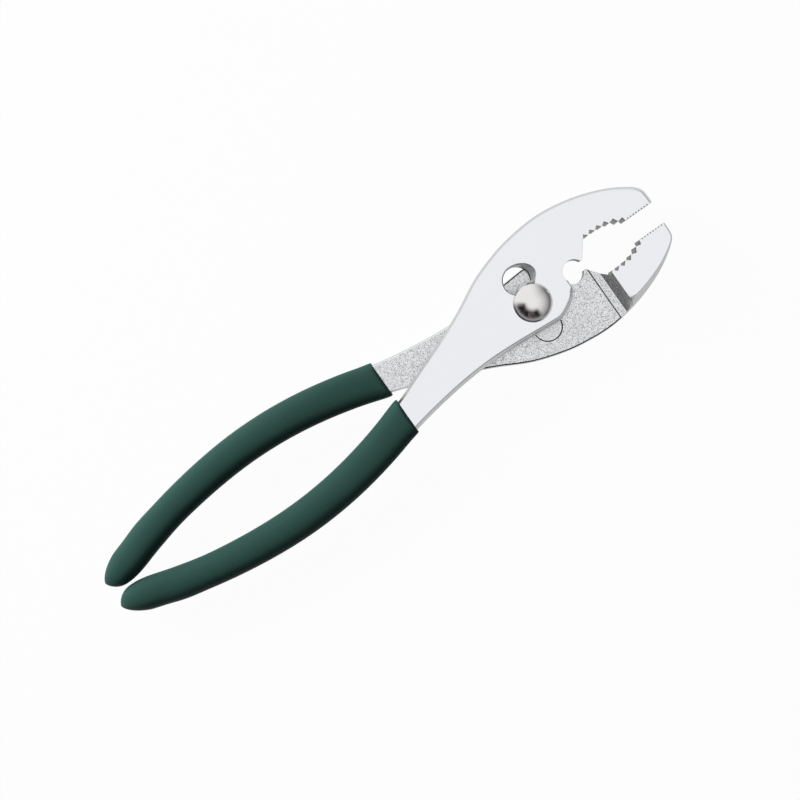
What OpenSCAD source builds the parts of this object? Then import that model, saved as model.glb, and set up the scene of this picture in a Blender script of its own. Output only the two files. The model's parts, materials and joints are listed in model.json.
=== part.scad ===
// Slip joint pliers: two matching forged halves crossed on a flatted bolt, with dipped grips.
// Lengths are in millimetres. X runs along the tool to the jaws and Z up the bolt to its domed head.
// The origin lies on the bolt's axis, at the flat end of the bolt.
// The tool is closed, with the bolt at the wide end of its slot.

/* [Overall] */
// Bolt axis to the jaw tips
jaw_reach = 47.2; // [42:0.2:54]
// Bolt axis to the ends of the grips
handle_reach = 155; // [135:1:175]
// Thickness of the jaws
jaw_t = 10; // [8:0.5:13]
// Height of the closed tool's centre line above the bolt's axis
centre_rise = 0.6; // [0:0.1:1.5]

/* [Forged halves] */
// Widest point of a jaw's back, from the centre line
back_rise = 20.5; // [18:0.5:24]
// Edge of the lap on its handle side, from the centre line
lap_drop = 9.6; // [8.6:0.2:11]
// Play between the two laps
lap_gap = 0.2; // [0.1:0.05:0.4]
// Slope-in of the forged sides at the polished face
face_draft = 0.9; // [0.4:0.1:1.4]
// Slope-in of the forged sides at the back of the jaws
back_draft = 1; // [0.4:0.1:1.4]
// Bolt axis to the foot of the step behind each jaw
step_foot = 22.5; // [21.5:0.5:25]
// Run of the step from its foot to the jaw's face
step_run = 2; // [1:0.2:3]
// Width of the relief strip at the foot of the step
relief_w = 2.5; // [1.5:0.1:3]
// Depth of the relief strip
relief_deep = 0.3; // [0.1:0.1:0.8]

/* [Jaws and teeth] */
// Length of the flat nose of each jaw
nose_len = 10.2; // [7:0.2:14]
// Play left between the noses when the bolt is at its narrow place
nose_play = 0.12; // [0.06:0.02:0.4]
// Height of the pipe hollow's tooth tips, from the centre line
hollow_rise = 6.3; // [5.4:0.1:7.5]
// Coarse teeth in each pipe hollow
coarse_count = 6; // [4:1:8]
// Depth of the coarse teeth
coarse_deep = 1.15; // [0.6:0.05:1.6]
// Fine teeth on each nose
fine_count = 8; // [5:1:9]
// Pitch of the fine teeth
fine_pitch = 1; // [0.7:0.05:1.1]
// Depth of the fine teeth
fine_deep = 0.5; // [0.2:0.05:0.8]
// Bolt axis to the middle of the wire notch
notch_x = 15.6; // [14.6:0.2:16.4]
// Radius of the wire notch
notch_r = 3.55; // [2.8:0.05:4]
// Half gap between the cusps in front of the wire notch
cusp_rise = 1.4; // [1:0.1:2]

/* [Slip joint] */
// Travel of the bolt along its slot
slip = 7; // [5:0.5:9]
// Diameter of the bolt's shank
bolt_d = 7.8; // [6.6:0.2:8.4]
// Width of the bolt across its two flats
flat_w = 6.2; // [5:0.2:6.4]
// Play between the bolt and its bore, on the radius
bolt_fit = 0.05; // [0.02:0.01:0.1]
// Play between the bolt and the slot, on each side
slot_fit = 0.1; // [0.05:0.05:0.2]
// Room round the shank in the slot's two round ends
slot_room = 0.4; // [0.3:0.1:0.6]
// Room left in the slot past the bolt's narrow place
slot_end_room = 1.2; // [0.2:0.1:1.6]
// Broken edge round the slot
slot_edge = 0.4; // [0.1:0.1:0.6]
// Diameter of the domed head
head_d = 12; // [10.6:0.2:14]
// Height of the domed head
head_h = 3.5; // [2.4:0.1:4.5]
// Height of the straight rim under the dome
head_rim = 0.5; // [0.2:0.1:1]
// Diameter of the bolt's threaded end
thread_d = 6; // [4.6:0.2:6.2]
// Width of the nut across its flats
nut_w = 11; // [9.4:0.2:12]
// Thickness of the nut
nut_h = 3.6; // [2.6:0.1:5]
// Length of the bolt past the nut
bolt_proud = 0.6; // [0.3:0.1:1.5]
// Play between the head or nut and the half under it
face_fit = 0.05; // [0.02:0.01:0.1]
// Depth of the half-round mark in the pivot half's lap
mark_deep = 0.35; // [0.1:0.05:0.6]

/* [Handles and grips] */
// Bolt axis to the mouths of the grips
grip_start = 50.4; // [49:0.2:56]
// Furthest bow of a handle, from the centre line
handle_bow = 14.15; // [13:0.1:17]
// Width of a grip at its mouth
grip_mouth_w = 12.4; // [11.4:0.2:13]
// Width of a grip at the start of its rounded end
grip_end_w = 10.2; // [9:0.2:10.6]
// Length of a grip's rounded end
grip_tip = 9; // [6:0.5:14]
// Wall of a grip beside the steel
grip_wall = 1; // [0.8:0.1:1.6]
// Wall of a grip over and under the steel
grip_cover = 1.2; // [0.9:0.1:1.8]
// Play between a grip and the steel inside it
grip_fit = 0.05; // [0.02:0.01:0.1]
// Thickness of the tang inside a grip
tang_t = 6.6; // [5.6:0.2:7.4]
// Slope-in of the tang's forged sides
tang_draft = 1.5; // [1:0.1:1.8]
// Distance over which a tang moves from its lap to the tool's middle
tang_ramp = 32; // [24:1:44]

/* [Hidden] */

// Colours
steel_bright = "#E2E4E6";
steel_blasted = "#C4C6C8";
steel_bolt = "#9FA0A4";
vinyl_green = "#26443B";

// Roundness, and the points between two points of a smooth edge
$fn = 64;
edge_steps = 5;
ramp_steps = 10;
bow_steps = 20;
tip_steps = 7;
tip_turn = 84;

// Overrun of every cut, and a length that clears the whole tool
over = jaw_t / 10;
far = 2 * back_rise + jaw_t;

// Levels, from the tool's middle plane
mid_z = bolt_proud + nut_h + face_fit + jaw_t / 2;
face_z = jaw_t / 2;
lap_z = lap_gap / 2;

// Slip joint
bolt_r = bolt_d / 2;
bore_r = bolt_r + bolt_fit;
slot_r = bolt_r + slot_room;
neck_w = flat_w + 2 * slot_fit;
thread_r = thread_d / 2;
slot_long = slip + slot_end_room;
mark_drop = slot_long + slot_room;

// Jaws: the noses close as the bolt reaches its narrow place
nose_rise = (slip + nose_play) / 2;
nose_start = jaw_reach - nose_len;
lap_end_share = 0.88;
lap_reach = notch_x - lap_end_share * notch_r;
cusp_x = notch_x + notch_r + (step_foot - notch_x - notch_r) / 10;
fine_land_share = 0.4;

// Back of a jaw from the bolt to the nose: shares of the jaw's reach and of its rise
back_shares = [
    [0, 0.91], [0.16, 0.975], [0.32, 1], [0.48, 0.965], [0.64, 0.88], [0.8, 0.74],
    [0.92, 0.58], [0.98, 0.46], [1, 0.33], [1, 0.06]
];
// Round end of a lap under the bolt: shares of the lap's reach and of its drop
lap_shares = [[0, 0.99], [0.37, 1], [0.65, 0.855], [0.88, 0.66], [1.05, 0.43]];
// Waste edge under the jaw, cut away by the mouth: shares of the jaw's reach and of the lap's drop
waste_shares = [[0.4, 0.2], [0.57, 0.1], [0.75, 0.02], [0.87, 0], [0.94, 0]];
// Neck from the grip to the bolt: shares of the grip's start, of the back's rise and of the lap's drop
neck_shares = [[0.8, 0.1, 1.06], [0.6, 0.285, 0.925], [0.4, 0.5, 0.87], [0.2, 0.75, 0.91]];
// Pipe hollow from the throat to the nose: shares of the way to the nose and of the hollow's rise
hollow_shares = [[0, 1], [0.32, 1.01], [0.67, 0.91]];
hollow_start_share = 0.495;
// Bow of a handle from the grip's mouth to its rounded end, at even steps
bow_shares = [0.485, 0.665, 0.82, 0.93, 0.99, 1, 0.96, 0.88, 0.765, 0.605, 0.395];
bow_tip_share = 0.3;
tang_length_share = 0.9;
// Fullness of a grip's rounded section, taper of its end and hollow of its mouth
grip_full_share = 2.8;
grip_taper_share = 1.4;
grip_narrow_share = 0.7;
mouth_dip_share = 0.06;

function mix(a, b, t) = a + (b - a) * t;

function clamp(t) = min(1, max(0, t));

// Smooth curve from b to c, with the points a and d on either side
function curve(a, b, c, d, t) =
    (2 * b + (c - a) * t + (2 * a - 5 * b + 4 * c - d) * t ^ 2 + (3 * b - a - 3 * c + d) * t ^ 3) / 2;

function smooth(p, steps, first = 0) = [
    for (i = [first : len(p) - 2])
        for (j = [0 : i < len(p) - 2 ? steps - 1 : steps])
            curve(p[max(i - 1, 0)], p[i], p[i + 1], p[min(i + 2, len(p) - 1)], j / steps)
];

// Left-hand normal of a path at one of its points
function normal(path, i) =
    let (d = path[min(i + 1, len(path) - 1)] - path[max(i - 1, 0)])
    [-d[1], d[0]] / norm(d);

function pushed(path, i, amount) = path[i] + amount * normal(path, i);

// Handle: places along it run from 0 at the grip's mouth to 1 at the start of the rounded end
grip_run = handle_reach - grip_tip - grip_start;
ramp_place = tang_ramp / grip_run;
handle_places = concat(
    [for (k = [0 : ramp_steps - 1]) mix(0, ramp_place, k / ramp_steps)],
    [for (k = [0 : bow_steps]) mix(ramp_place, 1, k / bow_steps)]
);

function bow_at(u) =
    let (b = -handle_bow * bow_shares, t = u * (len(b) - 1), i = min(floor(t), len(b) - 2))
    curve(b[max(i - 1, 0)], b[i], b[i + 1], b[min(i + 2, len(b) - 1)], t - i);

tang_stations = floor(tang_length_share * (len(handle_places) - 1));

function handle_x(u) = -grip_start - grip_run * u;

function grip_w(u) = mix(grip_mouth_w, grip_end_w, max(u, 0) ^ grip_narrow_share);

// Share of the way that a tang has moved to the tool's middle, at x
function drift(x) = clamp((-grip_start - x) / tang_ramp);

function tang_top(x) = mix(face_z, tang_t / 2, drift(x));

// Slope of the underside from the lap to the tang's floor
ramp_lead = tang_ramp / 8;
lap_ramp_start = -grip_start + ramp_lead;

function ramp_z(x) = mix(lap_z, -tang_t / 2, (lap_ramp_start - x) / (ramp_lead + tang_ramp));

function tang_floor(x) = max(-tang_t / 2, min(lap_z, ramp_z(x)));

function tang_mid(x) = (tang_top(x) + tang_floor(x)) / 2;

function side_draft(x) = mix(face_draft, tang_draft, drift(x));

// Edges of the steel inside a grip, on the jaw's side (1) and the handle's side (-1)
function tang_edge(u, side) = [handle_x(u), bow_at(u) + side * (grip_w(u) / 2 - grip_wall - grip_fit)];

function tang_edges(side) = [for (i = [tang_stations : -1 : 0]) tang_edge(handle_places[i], side)];

// Rails of a half: the widest line of its forging, on the jaw's side and on the handle's side
next_place = handle_places[edge_steps];
jaw_side_points = concat(
    [tang_edge(next_place, 1), tang_edge(0, 1)],
    [for (s = neck_shares) [-grip_start * s[0], back_rise * s[1]]],
    [for (s = back_shares) [jaw_reach * s[0], back_rise * s[1]]]
);
handle_side_points = concat(
    [tang_edge(next_place, -1), tang_edge(0, -1)],
    [for (s = neck_shares) [-grip_start * s[0], -lap_drop * s[2]]],
    [for (s = lap_shares) [lap_reach * s[0], -lap_drop * s[1]]],
    [for (s = waste_shares) [jaw_reach * s[0], -lap_drop * s[1]]]
);

function rail(tang, head) = concat([for (i = [0 : len(tang) - 2]) tang[i]], smooth(head, edge_steps, 1));

jaw_rail = rail(tang_edges(1), jaw_side_points);
handle_rail = rail(tang_edges(-1), handle_side_points);

// Level of the underside before the lap is cut: under the tang in the grip, the jaw's in the head
function blank_floor(x) = -mix(tang_t / 2 + over, jaw_t / 2, clamp((x + grip_start) / (grip_start / 2)));

// Way in which the sides are drawn in: square to the edge in the head, straight across in the grip
function draw_in(path, i) = i > tang_stations ? normal(path, i) : [0, 1];

function half_section(i) =
    let (x = jaw_rail[i][0],
         top = tang_top(x),
         mid = tang_mid(x),
         low = blank_floor(x),
         face_in = side_draft(x),
         back_in = mix(back_draft, tang_draft, drift(x)),
         jaw_face = jaw_rail[i] - face_in * draw_in(jaw_rail, i),
         jaw_back = jaw_rail[i] - back_in * draw_in(jaw_rail, i),
         handle_face = handle_rail[i] + face_in * draw_in(handle_rail, i),
         handle_back = handle_rail[i] + back_in * draw_in(handle_rail, i))
    [
        [jaw_face[0], jaw_face[1], top],
        [jaw_rail[i][0], jaw_rail[i][1], mid],
        [jaw_back[0], jaw_back[1], low],
        [handle_back[0], handle_back[1], low],
        [handle_rail[i][0], handle_rail[i][1], mid],
        [handle_face[0], handle_face[1], top]
    ];

// Closed skin through sections that have the same number of points
module loft(sections) {
    n = len(sections[0]);
    last = len(sections) - 1;
    ends = [for (j = [1 : n - 2]) each [[0, j + 1, j], [last * n, last * n + j, last * n + j + 1]]];
    sides = [
        for (i = [0 : last - 1])
            for (j = [0 : n - 1])
                let (a = i * n + j, b = i * n + (j + 1) % n)
                each [[a, b + n, a + n], [a, b, b + n]]
    ];
    polyhedron([for (s = sections) each s], concat(ends, sides));
}

// Tooth tips of the pipe hollow lie along this line, from the throat to the nose
hollow_start = jaw_reach * hollow_start_share;
hollow_line = concat(
    [for (s = hollow_shares) [mix(hollow_start, nose_start, s[0]), hollow_rise * s[1]]],
    [[nose_start, nose_rise]]
);
hollow_path = smooth(hollow_line, 2 * coarse_count);

function hollow_at(k) = round(k * (len(hollow_path) - 1) / (2 * coarse_count));

coarse_teeth = [
    for (k = [0 : 2 * coarse_count])
        k % 2 == 0 ? hollow_path[hollow_at(k)] : pushed(hollow_path, hollow_at(k), coarse_deep)
];

fine_half = fine_pitch * (1 - fine_land_share) / 2;
fine_teeth = [
    for (k = [1 : fine_count])
        let (x = nose_start + k * fine_pitch)
        each [[x - fine_half, nose_rise], [x, nose_rise + fine_deep], [x + fine_half, nose_rise]]
];

// Space between the jaws on one half's side: notch, cusp, throat, pipe hollow and nose
module mouth_cut() {
    translate([0, 0, -far / 2])
        linear_extrude(far)
            polygon(concat(
                [[lap_reach, -far], [lap_reach, 0], [notch_x, 0], [notch_x, cusp_rise], [cusp_x, cusp_rise]],
                coarse_teeth,
                fine_teeth,
                [[jaw_reach + over, nose_rise], [jaw_reach + over, -far]]
            ));
    translate([notch_x, 0, -far / 2])
        cylinder(h = far, r = notch_r);
}

// Space under the tang and the lap: floor, ramp, lap face, relief strip and the step behind the jaw
module lap_cut() {
    ramp_end = -grip_start - tang_ramp;
    drop = face_z + lap_z + relief_deep;
    rotate([90, 0, 0])
        linear_extrude(2 * far, center = true)
            polygon([
                [-handle_reach, -tang_t / 2],
                [ramp_end, -tang_t / 2],
                [lap_ramp_start, lap_z],
                [step_foot - relief_w, lap_z],
                [step_foot - relief_w, lap_z + relief_deep],
                [step_foot, lap_z + relief_deep],
                [step_foot + step_run * (drop + over) / drop, -face_z - over],
                [step_foot + step_run * (drop + over) / drop, -far],
                [-handle_reach, -far]
            ]);
}

// One forging: face up, jaw on the +Y side of the centre line and handle on the other
module forged_half() {
    difference() {
        loft([for (i = [0 : len(jaw_rail) - 1]) half_section(i)]);
        mouth_cut();
        lap_cut();
    }
}

// Slot along +Y from the bolt's wide place, with broken edges at the face
module slot_cut() {
    for (y = [0, slot_long])
        translate([0, y, 0]) {
            cylinder(h = far, r = slot_r, center = true);
            translate([0, 0, face_z - slot_edge])
                cylinder(h = slot_edge + over, r1 = slot_r, r2 = slot_r + slot_edge + over);
        }
    translate([-neck_w / 2, 0, -far / 2])
        cube([neck_w, slot_long, far]);
}

module slotted_half() {
    color(steel_bright)
        translate([0, 0, mid_z])
            difference() {
                translate([0, centre_rise, 0])
                    forged_half();
                slot_cut();
            }
}

// The same forging turned over, with a round bore and the slot's shallow half-round mark
module pivot_half() {
    color(steel_blasted)
        translate([0, 0, mid_z])
            difference() {
                translate([0, centre_rise, 0])
                    rotate([180, 0, 0])
                        forged_half();
                cylinder(h = far, r = bore_r, center = true);
                translate([0, -mark_drop, -lap_z - mark_deep])
                    cylinder(h = mark_deep + over, r = slot_r);
            }
}

// Domed head, shank with two flats in the slot, round journal with a shoulder, and threaded end
module pivot_bolt() {
    cap_h = head_h - head_rim;
    cap_r = ((head_d / 2) ^ 2 + cap_h ^ 2) / (2 * cap_h);
    head_z = face_z + face_fit;
    shoulder_z = -face_z - face_fit;
    color(steel_bolt)
        translate([0, 0, mid_z]) {
            translate([0, 0, head_z])
                cylinder(h = head_rim, d = head_d);
            intersection() {
                translate([0, 0, head_z + head_h - cap_r])
                    sphere(r = cap_r);
                translate([0, 0, head_z + head_rim])
                    cylinder(h = head_h, r = head_d);
            }
            intersection() {
                cylinder(h = head_z, r = bolt_r);
                translate([-flat_w / 2, -bolt_r, 0])
                    cube([flat_w, bolt_d, head_z]);
            }
            translate([0, 0, shoulder_z])
                cylinder(h = -shoulder_z, r = bolt_r);
            translate([0, 0, -mid_z])
                cylinder(h = mid_z, r = thread_r);
        }
}

// Hexagon nut with turned corners, seated on the bolt's shoulder
module pivot_nut() {
    corner_r = nut_w / sqrt(3);
    turn_r = 2 * corner_r;
    color(steel_bolt)
        translate([0, 0, bolt_proud])
            difference() {
                intersection() {
                    cylinder(h = nut_h, r = corner_r, $fn = 6);
                    translate([0, 0, sqrt(turn_r ^ 2 - (nut_w / 2) ^ 2)])
                        sphere(r = turn_r);
                }
                translate([0, 0, -over])
                    cylinder(h = nut_h + 2 * over, r = thread_r + bolt_fit);
            }
}

// Six corners of the steel's section inside a grip, with the grip's play round it
function cavity_corners(u) =
    let (x = handle_x(u),
         bow = bow_at(u),
         half_w = grip_w(u) / 2 - grip_wall,
         top = tang_top(x),
         mid = tang_mid(x),
         low = tang_floor(x),
         top_w = half_w - side_draft(x),
         low_w = half_w - mix(back_draft, tang_draft, drift(x)) * (mid - low) / (mid - blank_floor(x)))
    [
        [x, bow + half_w, mid], [x, bow + top_w, top + grip_fit], [x, bow - top_w, top + grip_fit],
        [x, bow - half_w, mid], [x, bow - low_w, low - grip_fit], [x, bow + low_w, low - grip_fit]
    ];

// Point of the six-sided section at an angle, so that its corners meet those of the rounded section
function cavity_point(c, a) =
    a < 45 ? mix(c[0], c[1], a / 45)
    : a < 135 ? mix(c[1], c[2], (a - 45) / 90)
    : a < 180 ? mix(c[2], c[3], (a - 135) / 45)
    : a < 225 ? mix(c[3], c[4], (a - 180) / 45)
    : a < 315 ? mix(c[4], c[5], (a - 225) / 90)
    : mix(c[5], c[0], (a - 315) / 45);

grip_angles = [0 : 15 : 345];

function cavity_section(u) = let (c = cavity_corners(u)) [for (a = grip_angles) cavity_point(c, a)];

function rounded(c) = sign(c) * abs(c) ^ (2 / grip_full_share);

// Outside of a grip: a full oval, drawn in by size, with its mouth dished by dip
function grip_section(x, bow, w, size, dip = 0) =
    let (half_t = (tang_top(x) - tang_floor(x)) / 2 + grip_cover)
    [
        for (a = grip_angles)
            [
                x - dip * sin(a) ^ 2,
                bow + size * w / 2 * rounded(cos(a)),
                tang_mid(x) + size * half_t * rounded(sin(a))
            ]
    ];

// One grip: up the cavity to the mouth, over the lip and back along the outside to the rounded end
module grip_sleeve() {
    mouth_dip = mouth_dip_share * grip_mouth_w;
    lip = grip_wall / 2;
    lip_share = 1 - lip / grip_mouth_w;
    inside = [for (i = [tang_stations : -1 : 0]) cavity_section(handle_places[i])];
    bottom = [for (p = inside[0]) p - [grip_fit, 0, 0]];
    outside = [
        for (i = [1 : len(handle_places) - 1])
            let (u = handle_places[i])
            grip_section(handle_x(u), bow_at(u), grip_w(u), 1)
    ];
    tip = [
        for (k = [1 : tip_steps])
            let (a = tip_turn * k / tip_steps)
            grip_section(
                -handle_reach + grip_tip * (1 - sin(a)),
                mix(bow_at(1), -handle_bow * bow_tip_share, sin(a)),
                grip_end_w,
                cos(a) ^ grip_taper_share
            )
    ];
    loft(concat(
        [bottom],
        [for (i = [1 : len(inside) - 1]) inside[i]],
        [grip_section(-grip_start, bow_at(0), grip_mouth_w, lip_share, mouth_dip)],
        [grip_section(-grip_start - lip, bow_at(0), grip_mouth_w, 1, mouth_dip)],
        outside,
        tip
    ));
}

module slotted_grip() {
    color(vinyl_green)
        translate([0, centre_rise, mid_z])
            grip_sleeve();
}

module pivot_grip() {
    color(vinyl_green)
        translate([0, centre_rise, mid_z])
            rotate([180, 0, 0])
                grip_sleeve();
}

pivot_half();
slotted_half();
pivot_bolt();
pivot_nut();
pivot_grip();
slotted_grip();
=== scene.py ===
# %% [markdown]
# # Slip joint pliers
#
# These pliers are two matching steel forgings that cross on one bolt. The bolt runs in a
# figure-of-eight slot, so the jaws can be set close or wide, and both handles are dipped in
# vinyl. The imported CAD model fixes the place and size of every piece. This lesson keeps that
# frame and gives each piece its worn-in edges, its threads and its finish, and then lights it as
# in a studio.

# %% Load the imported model
import json
import math

import bmesh
import bpy
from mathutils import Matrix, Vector

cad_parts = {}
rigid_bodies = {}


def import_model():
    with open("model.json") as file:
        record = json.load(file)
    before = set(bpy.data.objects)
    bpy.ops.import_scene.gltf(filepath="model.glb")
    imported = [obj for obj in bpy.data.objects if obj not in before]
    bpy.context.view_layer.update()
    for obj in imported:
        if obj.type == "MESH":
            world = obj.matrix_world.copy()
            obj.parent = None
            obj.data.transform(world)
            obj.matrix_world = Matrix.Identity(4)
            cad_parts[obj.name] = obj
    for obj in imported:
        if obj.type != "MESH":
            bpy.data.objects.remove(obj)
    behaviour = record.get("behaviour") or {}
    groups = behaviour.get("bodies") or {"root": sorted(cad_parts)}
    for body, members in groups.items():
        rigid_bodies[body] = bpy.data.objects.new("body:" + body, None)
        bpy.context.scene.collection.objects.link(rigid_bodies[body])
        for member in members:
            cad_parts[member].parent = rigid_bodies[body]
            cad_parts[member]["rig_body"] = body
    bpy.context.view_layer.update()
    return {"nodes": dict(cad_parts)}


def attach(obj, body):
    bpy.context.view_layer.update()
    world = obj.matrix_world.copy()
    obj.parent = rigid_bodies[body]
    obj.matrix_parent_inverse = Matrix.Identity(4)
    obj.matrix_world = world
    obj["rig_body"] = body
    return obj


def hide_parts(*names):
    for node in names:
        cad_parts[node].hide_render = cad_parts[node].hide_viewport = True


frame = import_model()
MM = 0.001

# %% [markdown]
# ## Colours and nodes
#
# A colour is easiest to read as the hex value that a screen shows, but shaders work in linear
# light. One function turns the first into the second. A second function adds a node to a
# material, with its settings, its socket values and its links in one call, so that each material
# reads as a short list.

# %% Colour and node helpers
def linear(hex_colour):
    """Linear red, green, blue and alpha of an sRGB hex colour."""
    parts = [int(hex_colour[i:i + 2], 16) / 255 for i in (1, 3, 5)]
    parts = [c / 12.92 if c <= 0.04045 else ((c + 0.055) / 1.055) ** 2.4 for c in parts]
    return (*parts, 1.0)


def add_node(tree, kind, settings={}, sockets={}, links={}):
    """Adds one node, with its settings, its socket values and its links from other outputs."""
    node = tree.nodes.new(kind)
    for name, value in settings.items():
        setattr(node, name, value)
    for socket, value in sockets.items():
        node.inputs[socket].default_value = value
    for socket, source in links.items():
        tree.links.new(source, node.inputs[socket])
    return node


def new_material(name):
    """An empty material, with its output and with the coordinates of the piece in metres."""
    material = bpy.data.materials.new(name)
    material.use_nodes = True
    tree = material.node_tree
    tree.nodes.clear()
    output = add_node(tree, "ShaderNodeOutputMaterial")
    place = add_node(tree, "ShaderNodeTexCoord").outputs["Object"]
    print("material:", name)
    return material, tree, output, place


# A Mix node keeps sockets for numbers, vectors and colours: these are its share and its colours.
MIX_SHARE, MIX_FIRST, MIX_SECOND, MIX_COLOUR = 0, 6, 7, 2
print("white is", linear("#FFFFFF"))

# %% [markdown]
# ## Polished nickel plate
#
# The outer faces are belt-ground and buffed, then plated. A buffed plate reflects the studio as
# a soft white, with faint lines along the belt's run. It could be a mirror with a scratch
# picture, but two noises are lighter: one stretched along the tool varies the roughness, and one
# broad and weak noise tips the normal a little, because a buffed face is never quite flat.

# %% Polished nickel plate
BELT_LINE_W = 0.25 * MM
BELT_LINE_LONG = 14 * MM
BUFF_WAVE = 16 * MM

polished_plate, tree, output, place = new_material("polished_nickel_plate")
stretched = add_node(
    tree, "ShaderNodeMapping",
    sockets={"Scale": (1 / BELT_LINE_LONG, 1 / BELT_LINE_W, 1 / BELT_LINE_W)},
    links={"Vector": place},
)
lines = add_node(
    tree, "ShaderNodeTexNoise",
    sockets={"Scale": 1.0, "Detail": 3.0},
    links={"Vector": stretched.outputs["Vector"]},
)
rough = add_node(
    tree, "ShaderNodeMapRange",
    sockets={"To Min": 0.16, "To Max": 0.3},
    links={"Value": lines.outputs["Fac"]},
)
tint = add_node(
    tree, "ShaderNodeMix", settings={"data_type": "RGBA"},
    sockets={MIX_FIRST: linear("#EAEBEE"), MIX_SECOND: linear("#F3F4F7")},
    links={MIX_SHARE: lines.outputs["Fac"]},
)
wave = add_node(
    tree, "ShaderNodeTexNoise",
    sockets={"Scale": 1 / BUFF_WAVE, "Detail": 1.0},
    links={"Vector": place},
)
bump = add_node(
    tree, "ShaderNodeBump",
    sockets={"Strength": 0.25, "Distance": 0.4 * MM},
    links={"Height": wave.outputs["Fac"]},
)
shader = add_node(
    tree, "ShaderNodeBsdfPrincipled",
    sockets={"Metallic": 1.0},
    links={
        "Base Color": tint.outputs[MIX_COLOUR],
        "Roughness": rough.outputs["Result"],
        "Normal": bump.outputs["Normal"],
    },
)
tree.links.new(shader.outputs["BSDF"], output.inputs["Surface"])

# %% [markdown]
# ## Sand-blasted plate
#
# The laps are blasted with grit before plating, which leaves a grey, sparkling grain of small
# pits. Real pits are about 0.1 mm wide, less than a pixel here, so the grain is drawn at 0.22 mm
# to show. One noise gives the pits their depth, their darker colour and their rougher floor.

# %% Sand-blasted plate
GRIT = 0.22 * MM

blasted_plate, tree, output, place = new_material("sand_blasted_plate")
grain = add_node(
    tree, "ShaderNodeTexNoise",
    sockets={"Scale": 1 / GRIT, "Detail": 1.0, "Roughness": 0.5},
    links={"Vector": place},
)
pits = add_node(
    tree, "ShaderNodeMapRange",
    sockets={"From Min": 0.35, "From Max": 0.5},
    links={"Value": grain.outputs["Fac"]},
)
tint = add_node(
    tree, "ShaderNodeMix", settings={"data_type": "RGBA"},
    sockets={MIX_FIRST: linear("#9B9DA0"), MIX_SECOND: linear("#F0F1F2")},
    links={MIX_SHARE: pits.outputs["Result"]},
)
rough = add_node(
    tree, "ShaderNodeMapRange",
    sockets={"To Min": 0.5, "To Max": 0.34},
    links={"Value": pits.outputs["Result"]},
)
bump = add_node(
    tree, "ShaderNodeBump",
    sockets={"Strength": 0.3, "Distance": 0.1 * MM},
    links={"Height": pits.outputs["Result"]},
)
shader = add_node(
    tree, "ShaderNodeBsdfPrincipled",
    sockets={"Metallic": 1.0},
    links={
        "Base Color": tint.outputs[MIX_COLOUR],
        "Roughness": rough.outputs["Result"],
        "Normal": bump.outputs["Normal"],
    },
)
tree.links.new(shader.outputs["BSDF"], output.inputs["Surface"])

# %% [markdown]
# ## Tumbled forging sides
#
# The drafted sides come from the forging die and are only tumbled before plating. They are
# duller than the faces and a little mottled, so a soft noise of a few millimetres varies both
# the colour and the roughness.

# %% Tumbled forging sides
MOTTLE = 2.5 * MM

tumbled_plate, tree, output, place = new_material("tumbled_forging_plate")
mottle = add_node(
    tree, "ShaderNodeTexNoise",
    sockets={"Scale": 1 / MOTTLE, "Detail": 4.0},
    links={"Vector": place},
)
tint = add_node(
    tree, "ShaderNodeMix", settings={"data_type": "RGBA"},
    sockets={MIX_FIRST: linear("#DEDFE0"), MIX_SECOND: linear("#F2F3F3")},
    links={MIX_SHARE: mottle.outputs["Fac"]},
)
rough = add_node(
    tree, "ShaderNodeMapRange",
    sockets={"To Min": 0.3, "To Max": 0.48},
    links={"Value": mottle.outputs["Fac"]},
)
shader = add_node(
    tree, "ShaderNodeBsdfPrincipled",
    sockets={"Metallic": 1.0},
    links={"Base Color": tint.outputs[MIX_COLOUR], "Roughness": rough.outputs["Result"]},
)
tree.links.new(shader.outputs["BSDF"], output.inputs["Surface"])

# %% [markdown]
# ## Milled teeth
#
# The teeth, the throat and the wire notch are cut through the thickness after forging. A cutter
# leaves fine lines along its run, here up the thickness, and a darker grey than the buffed
# faces. The walls are also painted darker towards the top.

# %% Milled teeth
CUT_LINE_W = 0.12 * MM
CUT_LINE_LONG = 6 * MM
DARKER_FROM = 10 * MM
DARKER_TO = 14.2 * MM

milled_plate, tree, output, place = new_material("milled_steel_plate")
stretched = add_node(
    tree, "ShaderNodeMapping",
    sockets={"Scale": (1 / CUT_LINE_W, 1 / CUT_LINE_W, 1 / CUT_LINE_LONG)},
    links={"Vector": place},
)
lines = add_node(
    tree, "ShaderNodeTexNoise",
    sockets={"Scale": 1.0, "Detail": 2.0},
    links={"Vector": stretched.outputs["Vector"]},
)
wall_tint = add_node(
    tree, "ShaderNodeMix", settings={"data_type": "RGBA"},
    sockets={MIX_FIRST: linear("#77787A"), MIX_SECOND: linear("#B9B8B5")},
    links={MIX_SHARE: lines.outputs["Fac"]},
)
height = add_node(tree, "ShaderNodeSeparateXYZ", links={"Vector": place})
# The walls are painted darker towards the top.
top_darkening = add_node(
    tree, "ShaderNodeMapRange", settings={"interpolation_type": "SMOOTHSTEP"},
    sockets={"From Min": DARKER_FROM, "From Max": DARKER_TO, "To Max": 0.8},
    links={"Value": height.outputs["Z"]},
)
tint = add_node(
    tree, "ShaderNodeMix", settings={"data_type": "RGBA"},
    sockets={MIX_SECOND: linear("#3C3D3F")},
    links={MIX_SHARE: top_darkening.outputs["Result"], MIX_FIRST: wall_tint.outputs[MIX_COLOUR]},
)
bump = add_node(
    tree, "ShaderNodeBump",
    sockets={"Strength": 0.2, "Distance": 0.03 * MM},
    links={"Height": lines.outputs["Fac"]},
)
shader = add_node(
    tree, "ShaderNodeBsdfPrincipled",
    sockets={"Metallic": 1.0, "Roughness": 0.42},
    links={"Base Color": tint.outputs[MIX_COLOUR], "Normal": bump.outputs["Normal"]},
)
tree.links.new(shader.outputs["BSDF"], output.inputs["Surface"])
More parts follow.
